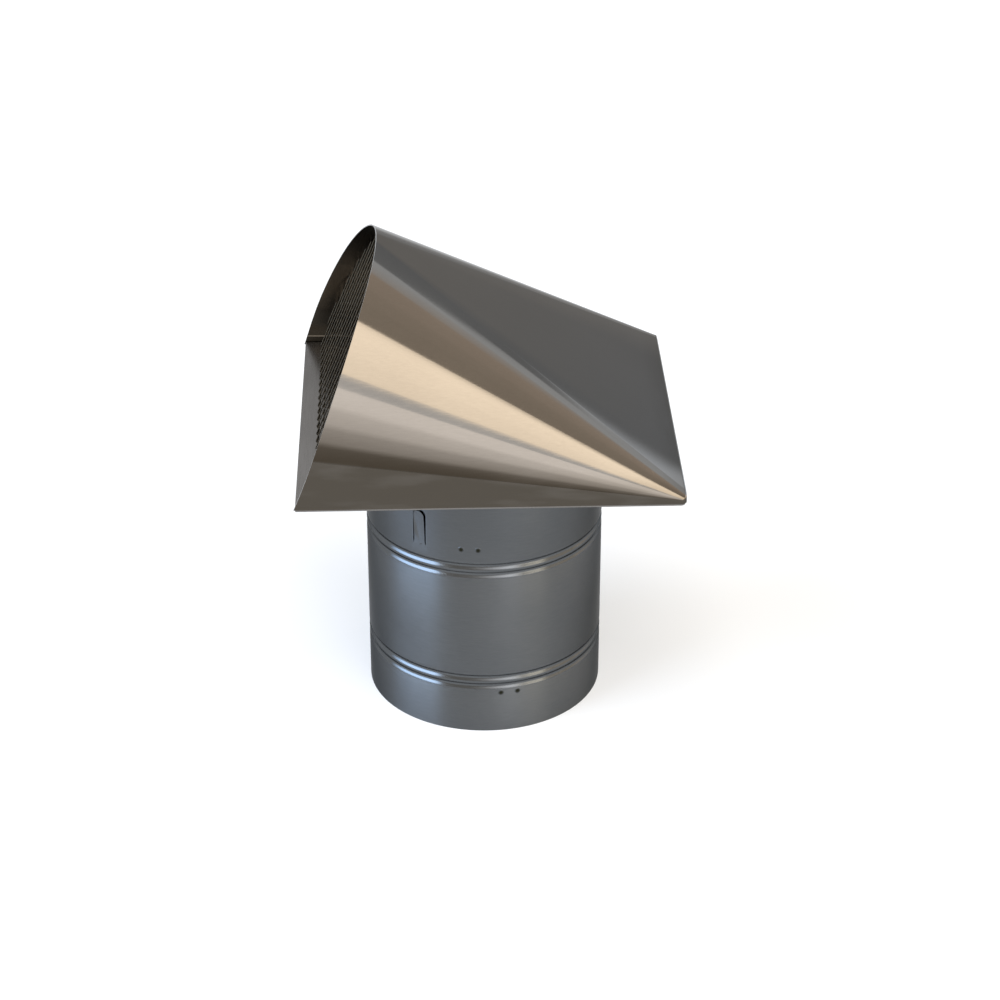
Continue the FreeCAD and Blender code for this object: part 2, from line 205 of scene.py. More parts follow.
# %% [markdown]
# ## The hood
#
# A workshop makes such a hood on a press brake: the flat blank is nudged over in small steps
# along lines that run from the arched mouth towards the rear corners, so each side is a fan of
# narrow flats with soft bends. It could be a lofted surface, but then the fine bend lines would
# be missing, and these catch the light on the real one. Here the arch is drawn by spinning one
# point round seven centres, its edge is then extruded to the rear edge, and the sheet gets its
# thickness last.

# %% The hood's sizes
PLATE_TOP = 248.4
MOUTH_FRONT = -152.9
MOUTH_LEAN = math.radians(22.1)
MOUTH_HEIGHT = 177.8
MOUTH_BOW = -2.7
FOOT_REACH = 148.0
BULGE_REACH = 154.7
BULGE_HEIGHT = 29.9
CROWN_RADIUS = 114.0
FLANK_RADIUS = 193.4
SHOULDER_RADIUS = 57.9
LAP_DEPTH = 3.0
SHEET = 1.0
REAR_REACH = 156.7
REAR_RISE = 4.6
REAR_FLAT = 132.0
REAR_CORNER = 5.0
FOLD_RADIUS = 1.5
FOOT_SPREAD = 0.3
BEND_PITCH = 15.0
STEPS_PER_BEND = 6
BEND_SHARPNESS = 0.5
RIM_ROUND = 0.45
print("The hood reaches from x", MOUTH_FRONT, "to", REAR_REACH, "mm")

# %% [markdown]
# Seven arcs make the arch: the crown, and on each side a flank, a shoulder and a foot. The
# mouth's own plane has two coordinates, across and up, and the flank's centre follows from its
# neighbours, because the arcs run smoothly into each other.

# %% The arcs' centres and turns
CROWN_CENTRE = Vector((0.0, MOUTH_HEIGHT - CROWN_RADIUS))
SHOULDER_CENTRE = Vector((BULGE_REACH - SHOULDER_RADIUS, BULGE_HEIGHT))


def flank_centre():
    """The centre of the flank's arc, which runs tangent into crown and shoulder."""
    gap = SHOULDER_CENTRE - CROWN_CENTRE
    one = FLANK_RADIUS - CROWN_RADIUS
    two = FLANK_RADIUS - SHOULDER_RADIUS
    along = (one**2 - two**2 + gap.length**2) / (2 * gap.length)
    aside = math.sqrt(one**2 - along**2)
    unit = gap.normalized()
    return CROWN_CENTRE + unit * along + Vector((unit.y, -unit.x)) * aside


def turn_of(centre, point):
    """The angle at which a point stands round a centre, both in the mouth's plane."""
    return math.atan2(point.y - centre.y, point.x - centre.x)


FLANK_CENTRE = flank_centre()
FOOT_RADIUS = (BULGE_HEIGHT**2 + (BULGE_REACH - FOOT_REACH) ** 2) / (
    2 * (BULGE_REACH - FOOT_REACH)
)
FOOT_CENTRE = Vector((BULGE_REACH - FOOT_RADIUS, BULGE_HEIGHT))
CROWN_TURN = turn_of(FLANK_CENTRE, CROWN_CENTRE)
SHOULDER_TURN = turn_of(FLANK_CENTRE, SHOULDER_CENTRE)
FOOT_TURN = math.asin(BULGE_HEIGHT / FOOT_RADIUS)
print("The flank's arc is centred at", tuple(round(v, 1) for v in FLANK_CENTRE))


# %% The arch as a list of centres and turns
def arch_arcs():
    """Centre, radius, first and last turn of each arc, from the +Y foot over to the -Y foot."""
    right = [
        (FOOT_CENTRE, FOOT_RADIUS, -FOOT_TURN, 0.0),
        (SHOULDER_CENTRE, SHOULDER_RADIUS, 0.0, SHOULDER_TURN),
        (FLANK_CENTRE, FLANK_RADIUS, SHOULDER_TURN, CROWN_TURN),
    ]
    left = [
        (Vector((-c.x, c.y)), r, math.pi - last, math.pi - first) for c, r, first, last in right
    ]
    crown = (CROWN_CENTRE, CROWN_RADIUS, CROWN_TURN, math.pi - CROWN_TURN)
    return right + [crown] + left[::-1]


def bend_count(radius, first, last, is_crown):
    """How many flats an arc is bent into; the crown keeps one flat in its middle."""
    flats = radius * (last - first) / BEND_PITCH
    if is_crown:
        return 2 * round((flats - 1) / 2) + 1
    return max(1, round(flats))


def rear_facing(across):
    """How squarely the rear edge faces +X: 1 along its straight run, 0 where it meets the side."""
    over = max(0.0, across - (FOOT_REACH - REAR_CORNER))
    return math.sqrt(max(0.0, 1.0 - (over / REAR_CORNER) ** 2))


def rear_x(across):
    """The rear edge's x at a distance from the middle: straight, with rounded corners."""
    return REAR_REACH - REAR_CORNER * (1.0 - rear_facing(across))


def rear_place(low):
    """A point of the rear fold, in metres.

    low runs from 0 at the side to a right angle, where the fold's straight middle begins.
    """
    across = REAR_FLAT + (FOOT_REACH - REAR_FLAT) * math.cos(low)
    x = rear_x(across) - FOLD_RADIUS * rear_facing(across)
    return Vector((x, across, PLATE_TOP + REAR_RISE * math.sin(low))) * MM


# %% [markdown]
# A flat sheet takes only shapes whose plane stays the same all along each bend line. So a bend
# line starts where the arch has some tangent and ends where the rear fold's tangent lies in the
# same plane as that tangent and the line itself. That place is found by halving.


# %% Where each bend line ends
NUDGE = 0.002
FOLD_MARGIN = 0.004
HALVINGS = 30


def plain_mouth(place):
    """A point of the mouth's plane without its bow, in metres."""
    x = MOUTH_FRONT + place.y * math.sin(MOUTH_LEAN)
    return Vector((x, place.x, PLATE_TOP + place.y * math.cos(MOUTH_LEAN))) * MM


def twist(start, tangent, low):
    """How far a line from a point of the arch to the rear fold is from lying in one plane."""
    along_rear = rear_place(low + NUDGE) - rear_place(low - NUDGE)
    return tangent.cross(along_rear.normalized()).dot((rear_place(low) - start).normalized())


def on_rear(centre, radius, turn):
    """Where the bend line that starts at a turn of one of the arch's arcs ends, in metres."""
    side = 1.0 if turn < math.pi / 2 else -1.0
    steep = turn if side > 0 else math.pi - turn
    if steep <= 0.0:
        height = PLATE_TOP + FOOT_SPREAD * steep
        return Vector((rear_place(0.0).x, side * FOOT_REACH * MM, height * MM))
    outward = Vector((math.cos(steep), math.sin(steep)))
    place = Vector((side * centre.x, centre.y)) + radius * outward
    start = plain_mouth(place)
    tangent = Vector(
        (
            math.sin(MOUTH_LEAN) * math.cos(steep),
            -math.sin(steep),
            math.cos(MOUTH_LEAN) * math.cos(steep),
        )
    )
    near, far = FOLD_MARGIN, math.pi / 2 - FOLD_MARGIN
    rising = twist(start, tangent, near) < twist(start, tangent, far)
    for _ in range(HALVINGS):
        middle = (near + far) / 2
        if (twist(start, tangent, middle) < 0.0) == rising:
            near = middle
        else:
            far = middle
    end = rear_place((near + far) / 2)
    return Vector((end.x, side * end.y, end.z))


ARCS = arch_arcs()
COUNTS = [
    bend_count(radius, first, last, centre is CROWN_CENTRE)
    for centre, radius, first, last in ARCS
]
print("Flats in each arc of the arch:", COUNTS)

# %% [markdown]
# Each spin turns the last vertex round one centre and leaves a trail of edges. The crown's
# middle flat is as wide as the others at the mouth, so the crown is spun in its own steps like
# the rest, and the vertices inside a flat are then pulled towards its chord. That leaves a
# soft bend between two nearly flat strips.

# %% Spin the arch
NORMAL = Vector((math.cos(MOUTH_LEAN), 0.0, -math.sin(MOUTH_LEAN)))


def spin_arch(name):
    """Draw the arch's line as one run of edges, from the +Y lap over to the -Y lap."""
    foot_depth = LAP_DEPTH / math.cos(MOUTH_LEAN)
    flat = [Vector((FOOT_REACH, -foot_depth)), Vector((FOOT_REACH, 0.0))]
    piece = point_start(name, plain_mouth(flat[0]))
    draw_to(plain_mouth(flat[1]) - plain_mouth(flat[0]))
    for (centre, radius, first, last), count in zip(ARCS, COUNTS):
        bpy.ops.mesh.spin(
            steps=count * STEPS_PER_BEND,
            angle=last - first,
            center=plain_mouth(centre),
            axis=-NORMAL,
            use_auto_merge=False,
        )
    flat = [Vector((-FOOT_REACH, -foot_depth)), Vector((-FOOT_REACH, 0.0))]
    draw_to(plain_mouth(flat[0]) - plain_mouth(flat[1]))
    return piece


hood = spin_arch("hood_sheet")
spun = bmesh.from_edit_mesh(hood.data)
print("The arch has", len(spun.verts), "vertices and", len(spun.edges), "edges")


# %% Where each line of the sheet starts and ends
def arch_turns():
    """The arc and turn at each of the arch's vertices, in the order that the spins left."""
    turns = [(ARCS[0][0], ARCS[0][1], -FOOT_TURN)]
    for (centre, radius, first, last), count in zip(ARCS, COUNTS):
        steps = count * STEPS_PER_BEND
        for k in range(1, steps + 1):
            turns.append((centre, radius, first + (last - first) * k / steps))
    return turns


def flattened(points, middle):
    """The points pulled towards the chords between bends, and the middle flat's fully."""
    result = []
    for k, point in enumerate(points):
        start = min(k // STEPS_PER_BEND * STEPS_PER_BEND, len(points) - 1 - STEPS_PER_BEND)
        share = (k - start) / STEPS_PER_BEND
        chord = points[start].lerp(points[start + STEPS_PER_BEND], share)
        pull = 1.0 if start == middle else BEND_SHARPNESS
        result.append(point.lerp(chord, pull))
    return result


def bowed(point):
    """A point of the mouth's line moved by the mouth's slight bow."""
    share = max(0.0, (point.z / MM - PLATE_TOP) / (MOUTH_HEIGHT * math.cos(MOUTH_LEAN)))
    return point + Vector((MOUTH_BOW * 4 * share * (1 - share) * MM, 0.0, 0.0))


def lap_foot(point):
    """The point at the lap's lower edge under a point."""
    return Vector((point.x, point.y, (PLATE_TOP - LAP_DEPTH) * MM))


MIDDLE_FLAT = (sum(COUNTS) - 1) // 2 * STEPS_PER_BEND
spun.verts.ensure_lookup_table()
front = [vertex.co.copy() for vertex in spun.verts]
front_line = flattened([bowed(point) for point in front[1:-1]], MIDDLE_FLAT)
front_line = [front[0]] + front_line + [front[-1]]
rear_line = flattened([on_rear(*start) for start in arch_turns()], MIDDLE_FLAT)
rear_line = [lap_foot(rear_line[0])] + rear_line + [lap_foot(rear_line[-1])]
top_flat = rear_line[MIDDLE_FLAT + 1].y - rear_line[MIDDLE_FLAT + 1 + STEPS_PER_BEND].y
print("The top flat is", round(top_flat / MM, 1), "mm wide at the rear edge")

# %% [markdown]
# The arch's whole line is extruded once, and each new vertex goes to the far end of its own
# bend line. The rear edge is then folded down over the plate's rim: some small extrusions go
# round the fold and a last one draws the lap.


# %% Extrude the arch back
def extrude_here():
    """Extrude the selected edges without moving them, so that each new vertex can be placed."""
    bpy.ops.mesh.extrude_edges_move(TRANSFORM_OT_translate={"value": (0.0, 0.0, 0.0)})


def line_ends(mesh):
    """Pairs of each vertex of the last line and the one extruded from it."""
    pairs = []
    for vertex in mesh.verts:
        if vertex.select:
            partner = [e.other_vert(vertex) for e in vertex.link_edges]
            partner = [v for v in partner if not v.select][0]
            pairs.append((partner, vertex))
    return pairs


bpy.ops.mesh.select_all(action="SELECT")
extrude_here()
mesh = bmesh.from_edit_mesh(hood.data)
mesh.verts.ensure_lookup_table()
for arch_vertex, rear_vertex in line_ends(mesh):
    number = arch_vertex.index
    rear_vertex.co = rear_line[number]
    arch_vertex.co = front_line[number]
    if number in (0, len(front_line) - 1):
        rear_vertex.select_set(False)
mesh.select_flush(False)
bmesh.update_edit_mesh(hood.data)
print("The sheet now has", len(mesh.faces), "flats")

# %% Fold the rear edge down and draw its lap
FOLD_STEPS = 9
for step in range(1, FOLD_STEPS + 2):
    extrude_here()
    mesh = bmesh.from_edit_mesh(hood.data)
    for _, new in line_ends(mesh):
        facing = rear_facing(abs(new.co.y) / MM)
        if step <= FOLD_STEPS:
            before, now = (math.radians(90.0 * k / FOLD_STEPS) for k in (step - 1, step))
            out = FOLD_RADIUS * (math.sin(now) - math.sin(before)) * MM
            down = FOLD_RADIUS * (math.cos(before) - math.cos(now)) * MM
            new.co += Vector((out * facing, 0.0, -down * facing))
        else:
            new.co = lap_foot(new.co)
    bmesh.update_edit_mesh(hood.data)
print("With its fold and lap the sheet has", len(mesh.faces), "faces")

# %% [markdown]
# A flat that turns a little along its length would be drawn as two long triangles with a false
# bend between them, so each bend line gets some points on its way. The lines that run together
# in a corner are then merged there, and the sheet's outer side is turned outwards.

# %% Divide the long flats and close the sheet
LENGTH_CUTS = 11
LONG_EDGE = 0.1
MERGE_WITHIN = 0.004
print("Bend lines:", pick(hood, "edges", lambda edge: edge.calc_length() > LONG_EDGE))
bpy.ops.mesh.subdivide(number_cuts=LENGTH_CUTS)
bpy.ops.mesh.select_all(action="SELECT")
bpy.ops.mesh.remove_doubles(threshold=MERGE_WITHIN * MM)
bpy.ops.mesh.normals_make_consistent(inside=False)
mesh = bmesh.from_edit_mesh(hood.data)
highest = max(mesh.faces, key=lambda face: face.calc_center_median().z)
if highest.normal.z < 0:
    bpy.ops.mesh.flip_normals()
print("The open sheet has", len(mesh.faces), "faces")

# %% [markdown]
# The inner side could be drawn a second time, but a modifier lays it at the same distance
# everywhere, as in a real sheet. Its edges are rounded a little. The rounded edge of the mouth
# is parted from the sides by a sharp line, or the smooth shading would blur their reflections.

# %% Give the sheet its thickness
add_modifier(hood, "SOLIDIFY", thickness=SHEET * MM, offset=-1.0)
round_edges(hood, RIM_ROUND)
settle(hood, smooth=12.0)


def near_mouth(place):
    """Whether a place lies on the mouth's edge and not on the sheet's sides."""
    return (place - plain_mouth(Vector((0.0, 0.0)))).dot(NORMAL) < RIM_ROUND * MM


def bounds_rim(edge):
    """Whether an edge parts the mouth's rounded edge from the sheet's sides."""
    sides = [near_mouth(face.calc_center_median()) for face in edge.link_faces]
    return len(sides) == 2 and sides[0] != sides[1]


bpy.ops.object.mode_set(mode="EDIT")
print("Edges along the mouth kept sharp:", pick(hood, "edges", bounds_rim))
bpy.ops.mesh.mark_sharp()
clear_selection()

# %% [markdown]
# Such sheet is brushed on one side only, and its inner side keeps the mill's dull grey. Along
# the mouth's edge and the rear fold the finish gets a painted highlight. These could be
# materials of their own, but numbers noted face by face let one finish fade between them.

# %% Mark the sheet's inner side and its edges that get a painted highlight
WITHIN = Vector((0.0, 0.0, 270.0)) * MM
FOLD_START = REAR_REACH - 0.9 * FOLD_RADIUS
# The mouth's edge and the rear fold get these shares of a painted highlight.
MOUTH_HIGHLIGHT = 1.0
FOLD_HIGHLIGHT = 0.3


def mark(piece, name, rule):
    """Note a number for each face under a name that a finish can read."""
    noted = piece.data.attributes.new(name, "FLOAT", "FACE")
    for face, item in zip(piece.data.polygons, noted.data):
        item.value = rule(face)
    print(name, "is marked on", sum(item.value > 0.0 for item in noted.data), "faces")


def is_inner(face):
    """1 on the sheet's inner side, whose faces look towards a place within the hood."""
    return float(face.normal.dot(face.center - WITHIN) < 0.0)


def edge_highlight_share(face):
    """How much painted highlight a face gets: all on the mouth's edge, some on the rear fold."""
    if near_mouth(face.center):
        return MOUTH_HIGHLIGHT
    return FOLD_HIGHLIGHT * (face.center.x > FOLD_START * MM and face.normal.z > 0.1)


mark(hood, "inner", is_inner)
mark(hood, "edge_highlight", edge_highlight_share)
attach(hood, "root")
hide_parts("hood_shell")

# %% [markdown]
# ## The plate
#
# The plate closes the hood from below. Its four rims are turned down and hemmed, that is
# folded back on themselves, so they are two sheets thick with a round lower edge. A box is
# enough to start: its rear corners are rounded, its underside is inset and pushed up, and a
# round hole lets the duct's air through.

# %% Model the plate
PLATE_FRONT = 152.9
PLATE_REAR = 155.7
PLATE_HALF = 147.0
RIM_HEIGHT = 5.0
HEM = 2.0
BEND_ROUND = 0.7
CORNER_SEGMENTS = 6
DUCT_BORE = 99.2
PUNCH_SIDES = 144
PUNCH_LENGTH = 0.05

clear_selection()
bpy.ops.mesh.primitive_cube_add(
    size=1.0,
    location=((PLATE_REAR - PLATE_FRONT) / 2 * MM, 0.0, (PLATE_TOP - RIM_HEIGHT / 2) * MM),
    scale=((PLATE_REAR + PLATE_FRONT) * MM, 2 * PLATE_HALF * MM, RIM_HEIGHT * MM),
)
plate = named("rimmed_plate")
fix_place(plate)
bpy.ops.object.mode_set(mode="EDIT")


def upright_at_rear(edge):
    """Whether an edge of the box stands upright at the rear."""
    one, two = (v.co for v in edge.verts)
    return abs(one.z - two.z) > (RIM_HEIGHT - SHEET) * MM and one.x > 0.0


print("Rear corners:", pick(plate, "edges", upright_at_rear))
bpy.ops.mesh.bevel(
    offset=(REAR_CORNER - SHEET) * MM, segments=CORNER_SEGMENTS, affect="EDGES"
)
pick(plate, "faces", looks_down)
bpy.ops.mesh.inset(thickness=HEM * MM, depth=0.0)
draw_to((0.0, 0.0, (RIM_HEIGHT - SHEET) * MM))
clear_selection()

# %% Punch the hole and round the bends
bpy.ops.mesh.primitive_cylinder_add(
    vertices=PUNCH_SIDES,
    radius=DUCT_BORE * MM,
    depth=PUNCH_LENGTH,
    location=(0.0, 0.0, PLATE_TOP * MM),
)
carve(plate, "DIFFERENCE", named("plate_punch"))
round_edges(plate, BEND_ROUND)
settle(plate, smooth=30.0)
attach(plate, "root")
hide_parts("base_plate")

# %% [markdown]
# ## The duct
#
# The duct is rolled from sheet and then swaged: two hard rollers press a pair of shallow
# grooves into it, with a narrow ridge between them. A spun profile is the natural way, because
# the real tool goes round the duct in the same way. The profile is drawn from the bottom up in
# short steps, is spun once round, and then gets its wall.

# %% Draw and spin the duct's profile
DUCT_RADIUS = 100.0
DUCT_WALL = 0.8
DUCT_TOP = 247.4
BEADS = (49.1, 157.9)
GROOVE_WIDTH = 7.0
GROOVE_PITCH = 8.0
GROOVE_DEPTH = 1.4
GROOVE_STEPS = 10
GROOVE_WALL = 1.5
DUCT_SPIN = 160
SEAM_WITHIN = 0.01


def groove_profile(middle):
    """Radius and height along one groove: steep walls, a round floor."""
    points = []
    for k in range(GROOVE_STEPS + 1):
        share = k / GROOVE_STEPS
        press = math.sin(math.pi * share) ** GROOVE_WALL
        height = middle + (share - 0.5) * GROOVE_WIDTH
        points.append((DUCT_RADIUS - GROOVE_DEPTH * press, height))
    return points


def duct_profile():
    """The duct's outer side from its lower rim to the plate."""
    points = [(DUCT_RADIUS, 0.0)]
    for bead in BEADS:
        for side in (-0.5, 0.5):
            points += groove_profile(bead + side * GROOVE_PITCH)
    points.append((DUCT_RADIUS, DUCT_TOP))
    return [Vector((radius, 0.0, height)) * MM for radius, height in points]


def spin_duct(name):
    """Draw the profile as a run of edges, spin it round and give it its wall."""
    profile = duct_profile()
    piece = point_start(name, profile[0])
    for here, there in zip(profile, profile[1:]):
        draw_to(there - here)
    bpy.ops.mesh.select_all(action="SELECT")
    bpy.ops.mesh.spin(
        steps=DUCT_SPIN, angle=2 * math.pi, center=(0.0, 0.0, 0.0), axis=(0.0, 0.0, 1.0)
    )
    bpy.ops.mesh.select_all(action="SELECT")
    bpy.ops.mesh.remove_doubles(threshold=SEAM_WITHIN * MM)
    bpy.ops.mesh.normals_make_consistent(inside=False)
    mesh = bmesh.from_edit_mesh(piece.data)
    face = min(mesh.faces, key=lambda item: item.calc_center_median().z)
    if face.normal.dot(face.calc_center_median().xy.to_3d()) < 0:
        bpy.ops.mesh.flip_normals()
    add_modifier(piece, "SOLIDIFY", thickness=DUCT_WALL * MM, offset=-1.0)
    return piece


duct = spin_duct("rolled_duct")
print("The duct has", len(duct.data.polygons), "faces")

# %% [markdown]
# ## The tongue
#
# A tongue is lanced out of the duct's wall above the upper bead, most likely to grip the spigot
# inside. It is the very piece of wall that the slit leaves, so a copy of the duct is cut down
# to it, and the same shape made a little larger cuts the slit out of the duct.

# %% Cut the tongue and its slit
TONGUE_TURN = math.radians(-33.7)
TONGUE_FOOT = 174.2
TONGUE_TOP = 208.2
TONGUE_SLIT = 1.2
TONGUE_HALF = 5.0
TONGUE_ROOT = 1.0
BLOCK_SIDES = 48
BLOCK_DEPTH = 0.03


def slot_block(name, half, foot, top):
    """A block with a round upper end that stands out through the duct's wall at the tongue."""
    clear_selection()
    bpy.ops.mesh.primitive_cylinder_add(
        vertices=BLOCK_SIDES,
        radius=half * MM,
        depth=BLOCK_DEPTH,
        location=(0.0, -DUCT_RADIUS * MM, (top - half) * MM),
        rotation=(math.pi / 2, 0.0, 0.0),
    )
    piece = named(name)
    fix_place(piece)
    bpy.ops.object.mode_set(mode="EDIT")
    level = (top - half) * MM
    pick(piece, "verts", lambda vertex: vertex.co.z < level - 0.01 * MM)
    bpy.ops.mesh.delete(type="VERT")
    pick(piece, "edges", lambda edge: edge.is_boundary)
    bpy.ops.mesh.edge_face_add()
    pick(piece, "faces", looks_down)
    draw_to((0.0, 0.0, foot * MM - level))
    clear_selection()
    piece.matrix_world = Matrix.Rotation(TONGUE_TURN, 4, "Z")
    fix_place(piece)
    return piece


tongue = duplicate(duct, "duct_tongue")
inner_block = slot_block(
    "tongue_block", TONGUE_HALF, TONGUE_FOOT - TONGUE_ROOT, TONGUE_TOP - TONGUE_SLIT
)
carve(tongue, "INTERSECT", inner_block)
outer_block = slot_block("slit_block", TONGUE_HALF + TONGUE_SLIT, TONGUE_FOOT, TONGUE_TOP)
carve(duct, "DIFFERENCE", outer_block)
print("Tongue faces:", len(tongue.data.polygons), "duct faces:", len(duct.data.polygons))

# %% Bend the tongue a little outwards
TONGUE_STEP = 4
TONGUE_LIFT = 1.6
TONGUE_CURL = 1.6

take(tongue)
bpy.ops.object.mode_set(mode="EDIT")
for height in range(int(TONGUE_FOOT) + TONGUE_STEP, int(TONGUE_TOP) - TONGUE_STEP, TONGUE_STEP):
    bpy.ops.mesh.select_all(action="SELECT")
    bpy.ops.mesh.bisect(plane_co=(0.0, 0.0, height * MM), plane_no=(0.0, 0.0, 1.0))
mesh = bmesh.from_edit_mesh(tongue.data)
outward = Vector((math.sin(TONGUE_TURN), -math.cos(TONGUE_TURN), 0.0))
for vertex in mesh.verts:
    share = max(0.0, (vertex.co.z / MM - TONGUE_FOOT) / (TONGUE_TOP - TONGUE_FOOT))
    vertex.co += outward * (TONGUE_LIFT * share**TONGUE_CURL * MM)
bmesh.update_edit_mesh(tongue.data)

for piece in (duct, tongue):
    settle(piece, smooth=40.0)
    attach(piece, "root")
    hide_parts("duct_pipe")

# %% [markdown]
# ## The spot welds
#
# Pairs of spot welds hold the duct's sheets together: small round dimples that the electrodes
# leave, with a dark heat mark that fades outwards. One is shaped from a disc, by insets that
# are pressed in step by step, and copied to every place: a pair at each third of the way round.

# %% Shape one weld
WELD_RADIUS = 2.7
WELD_PAIRS = ((-12.5, -4.45, 177.4), (6.3, 14.5, 38.1))
WELD_SUNK = 0.05
WELD_SIDES = 24
WELD_STEPS = ((0.3, 0.2), (0.5, 0.03), (0.4, -0.05), (0.5, -0.05), (0.5, -0.03))

clear_selection()
bpy.ops.mesh.primitive_circle_add(
    vertices=WELD_SIDES,
    radius=WELD_RADIUS * MM,
    fill_type="NGON",
    calc_uvs=True,
    location=(0.0, -(DUCT_RADIUS - WELD_SUNK) * MM, 0.0),
    rotation=(math.pi / 2, 0.0, 0.0),
)
first_weld = named("weld_0")
fix_place(first_weld)
bpy.ops.object.mode_set(mode="EDIT")
bpy.ops.mesh.select_all(action="SELECT")
for inset, out in WELD_STEPS:
    bpy.ops.mesh.inset(thickness=inset * MM, depth=0.0)
    bpy.ops.transform.translate(value=(0.0, -out * MM, 0.0))
settle(first_weld, smooth=60.0)


# %% Copy the weld to its places
def weld_places():
    """Every weld's turn from -Y towards +X, in degrees, and its height."""
    for first, second, height in WELD_PAIRS:
        for turn in (0.0, 120.0, 240.0):
            yield first + turn, height
            yield second + turn, height


places = list(weld_places())
welds = [first_weld]
welds += [duplicate(first_weld, f"weld_{number}") for number in range(1, len(places))]
for weld, (turn, height) in zip(welds, places):
    turned = Matrix.Rotation(math.radians(turn), 4, "Z")
    weld.data.transform(Matrix.Translation((0.0, 0.0, height * MM)) @ turned)
    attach(weld, "root")
print("Welds:", len(welds))

# %% [markdown]
# ## Reckoning with sockets
#
# A finish is mostly arithmetic on noise and position. It could be wired node by node, but then
# nobody could read it. So a small class wraps a socket, which can then be written as ordinary
# Python, and every other node comes from one method.


# %% A socket that can be reckoned with
class Signal:
    """A value that varies over a surface or over the studio's dome, written like a number."""

    def __init__(self, finish, socket):
        self.finish = finish
        self.socket = socket

    def maths(self, operation, *values):
        """Feed values to one of the Math node's operations."""
        settings = {"operation": operation}
        return self.finish.node("ShaderNodeMath", settings, dict(enumerate(values)))[0]

    def __add__(self, other):
        return self.maths("ADD", self, other)

    def __sub__(self, other):
        return self.maths("SUBTRACT", self, other)

    def __rsub__(self, other):
        return self.maths("SUBTRACT", other, self)

    def __mul__(self, other):
        return self.maths("MULTIPLY", self, other)

    def __truediv__(self, other):
        return self.maths("DIVIDE", self, other)

    __radd__ = __add__
    __rmul__ = __mul__

    def at_least(self, limit):
        return self.maths("MAXIMUM", self, limit)

    def at_most(self, limit):
        return self.maths("MINIMUM", self, limit)

    def rises(self, low, high):
        """0 below low, 1 above high, and straight between them: one node that clamps."""
        steep = 1.0 / (high - low)
        settings = {"operation": "MULTIPLY_ADD", "use_clamp": True}
        values = {0: self, 1: steep, 2: -low * steep}
        return self.finish.node("ShaderNodeMath", settings, values)[0]

    def falls(self, low, high):
        """1 below low, 0 above high."""
        return self.rises(high, low)

    def kept(self):
        """The value held between 0 and 1."""
        return self.rises(0.0, 1.0)


# %% A material that is built call by call
GENERATED, UV_MAP, OBJECT = 0, 2, 3
MIX_SHARE, MIX_ONE, MIX_TWO, MIX_COLOUR = 0, 6, 7, 2
ATTRIBUTE_NUMBER = 2


class Finish:
    """A material whose nodes are added one call at a time."""

    def __init__(self, name):
        self.material = bpy.data.materials.new(name)
        self.material.use_nodes = True
        self.tree = self.material.node_tree
        self.shader = self.tree.nodes["Principled BSDF"]

    def node(self, kind, settings=None, values=None):
        """Add a node, set it up, feed its sockets and hand back its outputs as signals."""
        node = self.tree.nodes.new(kind)
        for key, value in (settings or {}).items():
            setattr(node, key, value)
        for key, value in (values or {}).items():
            if isinstance(value, Signal):
                self.tree.links.new(value.socket, node.inputs[key])
            else:
                node.inputs[key].default_value = value
        return [Signal(self, socket) for socket in node.outputs]

    def spot(self, kind=OBJECT):
        """Where a point of the surface is: by default in the object's own metres."""
        return self.node("ShaderNodeTexCoord")[kind]

    def axes(self, kind=OBJECT):
        """The three coordinates of a point, each by itself."""
        return self.node("ShaderNodeSeparateXYZ", {}, {0: self.spot(kind)})

    def marked(self, name):
        """The number that was noted face by face under a name."""
        return self.node("ShaderNodeAttribute", {"attribute_name": name})[ATTRIBUTE_NUMBER]

    def noise(self, scale, detail=2.0, rough=0.5):
        """Noise with a number of waves per metre along each axis."""
        place = self.node("ShaderNodeMapping", {}, {"Vector": self.spot(), "Scale": scale})[0]
        values = {"Vector": place, "Scale": 1.0, "Detail": detail, "Roughness": rough}
        return self.node("ShaderNodeTexNoise", {}, values)[0]

    def blend(self, share, one, two):
        """A colour between two others, which are plain colours or signals."""
        one, two = (c if isinstance(c, Signal) else (*c, 1.0) for c in (one, two))
        values = {MIX_SHARE: share, MIX_ONE: one, MIX_TWO: two}
        return self.node("ShaderNodeMix", {"data_type": "RGBA"}, values)[MIX_COLOUR]

    def feed(self, **sockets):
        """Feed the shader's sockets; a name's underscores stand for its blanks."""
        for key, value in sockets.items():
            socket = self.shader.inputs[key.replace("_", " ")]
            if isinstance(value, Signal):
                self.tree.links.new(value.socket, socket)
            else:
                socket.default_value = value

    def fed(self, name):
        """The signal that feeds one of the shader's sockets so far."""
        return Signal(self, self.shader.inputs[name].links[0].from_socket)


# %% [markdown]
# ## Brushed steel
#
# Sheet is brushed in long straight strokes. A picture of real strokes could be laid on, but it
# would repeat, so the grain is noise stretched far along one direction: the strokes change the
# colour a little, the roughness more, and the relief just enough to spread a reflection. Slow
# clouds on top stand for handling and rolling marks.


# %% Brushed steel
STROKE_DEPTH = 0.0003
FINER = 2.3


